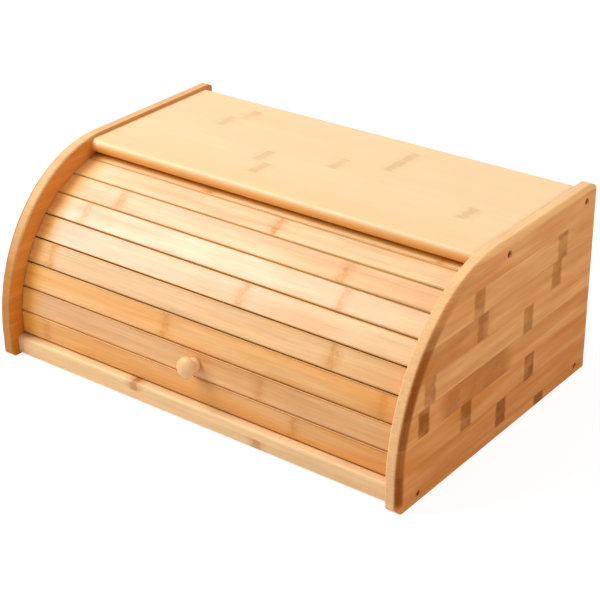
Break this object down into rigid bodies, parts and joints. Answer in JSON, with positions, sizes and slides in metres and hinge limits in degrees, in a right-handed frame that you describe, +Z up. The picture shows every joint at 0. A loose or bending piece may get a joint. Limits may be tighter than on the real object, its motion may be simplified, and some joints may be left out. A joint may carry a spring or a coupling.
{
  "type": "roll-top bread box",
  "caption": "Bamboo roll-top bread box with a slatted lid that slides up and back under the top board.",
  "frame": {"origin": "middle of the base, on the plane that the side panels stand on", "axes": "+Z up, -Y towards the front with the lid and its knob, +X to the right seen from the front"},
  "size_m": [0.4, 0.268, 0.162],
  "materials": {
    "bamboo_side": "clear satin lacquer on strip-laminated bamboo",
    "bamboo_board": "clear satin lacquer on pale laminated bamboo",
    "bamboo_slat": "clear satin lacquer",
    "turned_knob": "clear satin lacquer",
    "canvas": "plain woven cotton",
    "screw_steel": "zinc plated"
  },
  "bodies": {
    "case": {"side_panel_left": "bamboo_side", "side_panel_right": "bamboo_side", "top_board": "bamboo_board", "bottom_board": "bamboo_board", "back_board": "bamboo_board", "front_rail": "bamboo_board", "case_screws_left": "screw_steel", "case_screws_right": "screw_steel"},
    "lid": {"slat_01": "bamboo_slat", "slat_02": "bamboo_slat", "slat_03": "bamboo_slat", "slat_04": "bamboo_slat", "slat_05": "bamboo_slat", "slat_06": "bamboo_slat", "slat_07": "bamboo_slat", "slat_08": "bamboo_slat", "slat_09": "bamboo_slat", "slat_10": "bamboo_slat", "canvas_backing": "canvas", "knob": "turned_knob", "knob_screw": "screw_steel"}
  },
  "joints": [
    {"name": "lid_roll", "type": "hinge", "parent": "case", "child": "lid", "pos_m": [0, 0.0013, 0.02659], "axis": [-1, 0, 0], "range_deg": [0, 64]}
  ]
}
